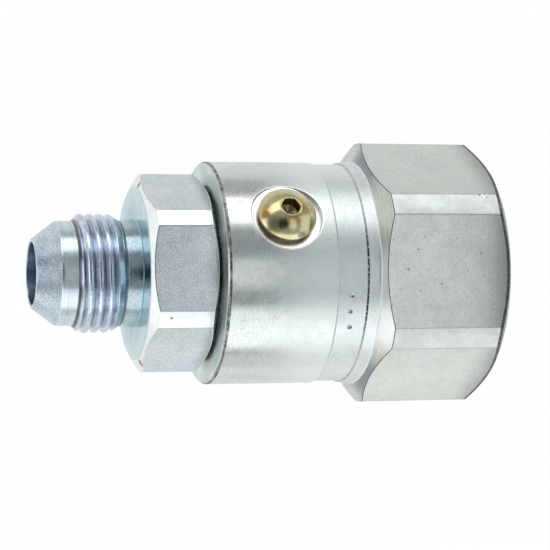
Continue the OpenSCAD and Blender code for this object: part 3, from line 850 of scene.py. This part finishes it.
yellowLook = dict(
    gold=(0.75, 0.68, 0.40), olive=(0.54, 0.52, 0.32), amber=(0.60, 0.42, 0.17), brown=(0.22, 0.17, 0.07),
    green=(0.36, 0.40, 0.22), pale=(0.96, 0.93, 0.70), roughness=0.22,
    paintedReflections=(  # painted reflections and shade: place on the head, inner and outer reach, tone, share
        ((-36.5, 12.9, 15.0), 1.0, 4.0, "olive", 0.6),
        ((-39.6, 9.3, 16.1), 0.6, 2.1, "amber", 0.9),
        ((-38.3, 7.2, 17.4), 0.3, 1.9, "brown", 0.75),
        ((-32.3, 7.4, 16.8), 0.3, 1.6, "green", 0.6),
        ((-35.0, 5.9, 17.3), 0.3, 1.6, "pale", 0.8),
        ((-35.7, 10.05, 17.4), 1.65, 2.05, "brown", 0.7),
    ),
)


def yellowFinish():
    look = yellowLook
    material, shader = newMaterial("yellowZinc", look["gold"], 1.0, look["roughness"])
    cloud = stretchedNoise(material, 0.35, (1, 1, 1), 4)
    colour = ramp(material, cloud, [(0.3, look["olive"]), (0.7, look["amber"]), (0.5, look["gold"])])
    # Painted reflections on the dome and painted shade on the ring round the socket
    for spot, inner, outer, tone, share in look["paintedReflections"]:
        paintedReflection = maths(material, "MULTIPLY", nearPoint(material, spot, inner, outer), share)
        colour = tinted(material, colour, paintedReflection, look[tone])
    wire(material, colour, shader.inputs["Base Color"])
    haze = stretchedNoise(material, 2.5, (1, 1, 1), 4)
    wire(material, ramp(material, haze, [(0.35, (0.14,)), (0.65, (0.26,))]), shader.inputs["Roughness"])
    wire(material, bumpFrom(material, haze, 0.15, 0.02), shader.inputs["Normal"])
    return material


def plainFinish(name, dark, light, metallic, roughness, scale, depth):
    # A mottled finish for the parts that hardly show
    material, shader = newMaterial(name, light, metallic, roughness)
    mottle = stretchedNoise(material, scale, (1, 1, 1), 4)
    wire(material, ramp(material, mottle, [(0.35, dark), (0.65, light)]), shader.inputs["Base Color"])
    wire(material, bumpFrom(material, mottle, depth, 0.02), shader.inputs["Normal"])
    return material


yellowZinc = yellowFinish()
socketDark = plainFinish("socketShade", (0.20, 0.15, 0.09), (0.46, 0.37, 0.22), 1.0, 0.35, 3, 0.3)
# The washer is drawn lighter than its dark nylon: painted light in the shade under the head
washerDark = plainFinish("washerDark", (0.24, 0.19, 0.14), (0.42, 0.35, 0.28), 0.0, 0.45, 3, 0.3)
plug = buildPlug()
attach(plug, "body")
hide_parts("ball_plug")
washer = buildWasher()
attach(washer, "body")
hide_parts("plug_washer")
print("plug and washer ready")

hiddenFinishes = dict(
    dust_rubber=plainFinish("dustRubber", (0.03, 0.04, 0.04), (0.08, 0.10, 0.10), 0.0, 0.35, 2, 0.1),
    seal_rubber=plainFinish("sealRubber", (0.01, 0.01, 0.012), (0.035, 0.035, 0.038), 0.0, 0.4, 3, 0.2),
    backup_plastic=plainFinish("backupPlastic", (0.74, 0.73, 0.69), (0.86, 0.85, 0.82), 0.0, 0.45, 1.5, 0.1),
    ball_steel=plainFinish("ballSteel", (0.62, 0.63, 0.66), (0.76, 0.77, 0.79), 1.0, 0.12, 4, 0.03),
)
for part in frame["record"]["subparts"]:
    finish = hiddenFinishes.get(part["material_slot"])
    if finish:
        node = frame["nodes"][part["node"]]
        if not node.material_slots:
            node.data.materials.append(finish)
        for slot in node.material_slots:
            slot.material = finish
print("hidden parts finished")


# Floor, lights and camera
stageSize = dict(
    floorHalf=1.2, floorLevel=-0.01906, paper=0.8, whiteTo=0.07, fadedFrom=0.11, faded=0.4, glow=1.08,
    cameraShare=0.85, mirrorShare=0.6, air=0.35, behindCamera=0.01,
)
softBoxes = dict(  # centre in degrees above and right of the camera, distance, width and height in metres, radiance
    upperBox=(65.5, 0, 0.6, 1.2, 0.37, 1.4),
    lowerBox=(-67.5, 0, 0.6, 1.2, 0.35, 1.07),
    lowerNearBox=(-43, 0, 0.62, 1.2, 0.19, 0.85),
    frontCard=(-1, 31.3, 0.31, 0.11, 0.165, 0.5),
    leftBox=(0, -68, 0.6, 0.32, 0.3, 1.25),
    rightBox=(0, 80, 0.6, 0.5, 0.5, 0.5),
)


def buildFloor():
    # White to the camera and in the metal, grey far above the object in the picture; it keeps the object's shadow
    t = stageSize
    half, level = t["floorHalf"], t["floorLevel"]
    mesh = bpy.data.meshes.new("floorSheet")
    mesh.from_pydata([(-half, -half, level), (half, -half, level), (half, half, level), (-half, half, level)], [], [(0, 1, 2, 3)])
    floor = bpy.data.objects.new("floorSheet", mesh)
    bpy.context.scene.collection.objects.link(floor)
    material, shader = newMaterial("floorPaper", (t["paper"],) * 3, 0.0, 0.9)
    where = addNode(material, "ShaderNodeTexCoord")
    parts = addNode(material, "ShaderNodeSeparateXYZ")
    wire(material, where.outputs["Object"], parts.inputs[0])
    white = ramp(material, parts.outputs["Y"], [
        (0.048, (1.0,)), (0.056, (0.92,)), (t["whiteTo"], (0.92,)), (t["fadedFrom"], (t["faded"],)),
    ])
    glow = addNode(material, "ShaderNodeEmission")
    below = mapped(material, parts.outputs["Y"], -0.047, -0.06, t["glow"], t["glow"] * 1.3)
    below = maths(material, "MULTIPLY", below, mapped(material, parts.outputs["Y"], -0.062, -0.09, 1.0, 0.62))
    left = mapped(material, parts.outputs["X"], -0.1, -0.13, 1.0, 1.4)
    wire(material, maths(material, "MULTIPLY", below, left), glow.inputs["Strength"])
    wire(material, white, glow.inputs["Color"])
    path = addNode(material, "ShaderNodeLightPath")
    mirrored = addNode(material, "ShaderNodeMath", operation="MAXIMUM")
    wire(material, path.outputs["Is Glossy Ray"], mirrored.inputs[0])
    wire(material, path.outputs["Is Transmission Ray"], mirrored.inputs[1])
    mirrorShare = addNode(material, "ShaderNodeMath", operation="MULTIPLY")
    mirrorShare.inputs[1].default_value = t["mirrorShare"]
    wire(material, mirrored.outputs[0], mirrorShare.inputs[0])
    share = addNode(material, "ShaderNodeMath", operation="MULTIPLY_ADD")
    share.inputs[1].default_value = t["cameraShare"]
    wire(material, path.outputs["Is Camera Ray"], share.inputs[0])
    wire(material, mirrorShare.outputs[0], share.inputs[2])
    mix = addNode(material, "ShaderNodeMixShader")
    wire(material, share.outputs[0], mix.inputs[0])
    wire(material, shader.outputs[0], mix.inputs[1])
    wire(material, glow.outputs[0], mix.inputs[2])
    wire(material, mix.outputs[0], material.node_tree.nodes["Material Output"].inputs["Surface"])
    mesh.materials.append(material)


def fromCamera(degreesUp, degreesRight):
    # Direction seen from the object, as angles from the line to the camera
    a, b = radians(degreesUp), radians(degreesRight - 15.5)
    return Vector((sin(b) * cos(a), sin(a), cos(b) * cos(a)))


def addSoftBox(name, up, right, distance, width, height, radiance):
    # A soft box that faces the object; radiance is what a mirror would show
    lamp = bpy.data.lights.new(name, "AREA")
    lamp.shape = "RECTANGLE"
    lamp.size = width
    lamp.size_y = height
    lamp.energy = radiance * pi * width * height
    thing = bpy.data.objects.new(name, lamp)
    back = fromCamera(up, right)
    place = Vector((-0.036, 0, 0)) + back * distance
    side = (Vector((1, 0, 0)) - back * back.x).normalized()
    top = back.cross(side)
    thing.matrix_world = Matrix((
        (side.x, top.x, back.x, place.x), (side.y, top.y, back.y, place.y),
        (side.z, top.z, back.z, place.z), (0, 0, 0, 1)))
    bpy.context.scene.collection.objects.link(thing)


buildFloor()
for name, values in softBoxes.items():
    addSoftBox(name, *values)

world = bpy.data.worlds.new("studioAir")
world.use_nodes = True
backdrop = world.node_tree.nodes["Background"]
facing = world.node_tree.nodes.new("ShaderNodeVectorMath")
facing.operation = "DOT_PRODUCT"
facing.inputs[1].default_value = fromCamera(0, 0)
direction = world.node_tree.nodes.new("ShaderNodeTexCoord")
world.node_tree.links.new(direction.outputs["Generated"], facing.inputs[0])
dark = world.node_tree.nodes.new("ShaderNodeMapRange")  # the dark room behind the camera
dark.inputs["From Min"].default_value = cos(radians(23))
dark.inputs["From Max"].default_value = cos(radians(15))
dark.inputs["To Min"].default_value = stageSize["air"]
dark.inputs["To Max"].default_value = stageSize["behindCamera"]
world.node_tree.links.new(facing.outputs["Value"], dark.inputs["Value"])
world.node_tree.links.new(dark.outputs[0], backdrop.inputs["Strength"])
backdrop.inputs["Color"].default_value = (0.94, 1.0, 1.06, 1)
bpy.context.scene.world = world

cameraPlace = dict(spot=(-127.275, -2.77, 337.82), yaw=15.513, pitch=0.393, roll=-0.327, focal=2173.9)


def placeCamera():
    c = cameraPlace
    yaw, pitch, roll = (radians(c[k]) for k in ("yaw", "pitch", "roll"))
    forward = Vector((sin(yaw) * cos(pitch), sin(pitch), -cos(yaw) * cos(pitch)))
    right = forward.cross(Vector((0, 1, 0))).normalized()
    up = right.cross(forward)
    side = right * cos(roll) + up * sin(roll)
    top = up * cos(roll) - right * sin(roll)
    camera = bpy.data.cameras.new("view")
    camera.sensor_width = 36
    camera.lens = c["focal"] / 550 * 36
    camera.clip_start = 0.01
    camera.clip_end = 10
    thing = bpy.data.objects.new("view", camera)
    spot = Vector(c["spot"]) * mm
    thing.matrix_world = Matrix((
        (side.x, top.x, -forward.x, spot.x), (side.y, top.y, -forward.y, spot.y),
        (side.z, top.z, -forward.z, spot.z), (0, 0, 0, 1)))
    bpy.context.scene.collection.objects.link(thing)
    bpy.context.scene.camera = thing


placeCamera()
bpy.context.scene.view_settings.view_transform = "Standard"
print("stage ready")
